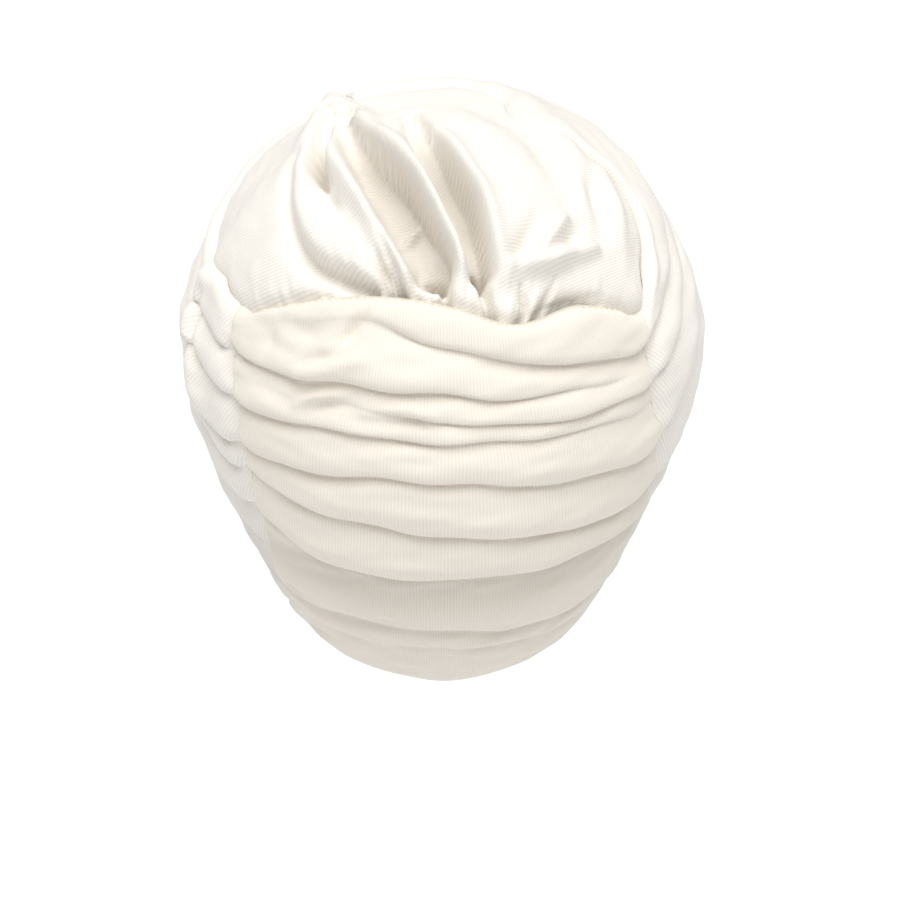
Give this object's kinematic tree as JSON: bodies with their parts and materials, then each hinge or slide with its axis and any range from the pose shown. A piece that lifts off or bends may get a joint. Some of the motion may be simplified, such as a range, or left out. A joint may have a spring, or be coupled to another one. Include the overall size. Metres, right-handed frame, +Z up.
{
  "type": "turban headwrap",
  "caption": "Ready-made turban headwrap in fine rib jersey: ruched back band, gathered crown and two draped front wraps, in the form it has when worn.",
  "frame": {"origin": "the middle of the head opening, level with the brow line of the head that wears it", "axes": "+Z up along the head, +Y towards the back of the head, +X towards the wearer's left"},
  "size_m": [0.211, 0.2387, 0.1988],
  "materials": {
    "band_jersey": "fine rib jersey, ivory, matte, ribs running up and down",
    "crown_jersey": "fine rib jersey, ivory, matte, ribs running across the head",
    "wrap_jersey": "fine rib jersey, ivory, matte, ribs running on the slant"
  },
  "bodies": {
    "root": {"back_band": "band_jersey", "crown": "crown_jersey", "front_wrap_right": "wrap_jersey", "front_wrap_left": "wrap_jersey"}
  },
  "joints": []
}
